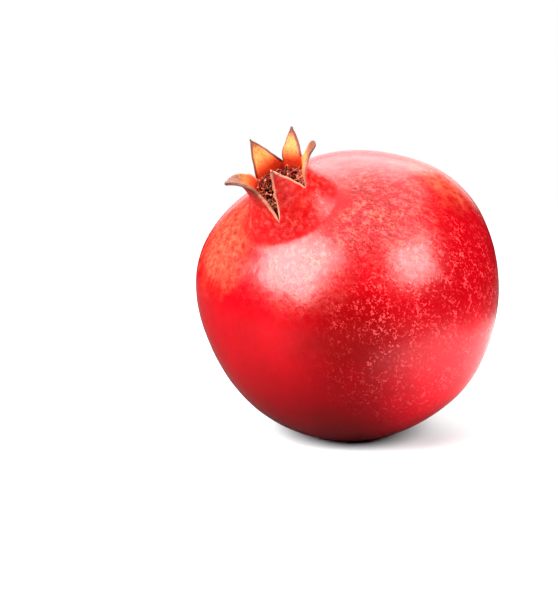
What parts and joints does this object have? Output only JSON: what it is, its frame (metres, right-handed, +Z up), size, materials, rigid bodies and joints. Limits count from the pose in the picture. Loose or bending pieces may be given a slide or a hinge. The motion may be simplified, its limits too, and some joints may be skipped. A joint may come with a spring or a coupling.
{
  "type": "pomegranate",
  "caption": "Whole pomegranate lying on a small flat spot, with an open pointed calyx crown, dried stamens in its cup and a clipped stalk.",
  "frame": {"origin": "centre of the small flat spot that the fruit rests on", "axes": "+Z up, -Y towards the picture's camera; the fruit's own axis leans 41.4 degrees from +Z, towards -X and -Y"},
  "size_m": [0.094, 0.0911, 0.0986],
  "materials": {
    "rind": "waxy red rind with fine pale specks, orange inside the crown",
    "dried_stamen": "dull, dry, brown",
    "stalk_wood": "dull bark, paler on the clipped end"
  },
  "bodies": {
    "root": {"fruit": "rind", "stamens": "dried_stamen", "stalk": "stalk_wood"}
  },
  "joints": []
}
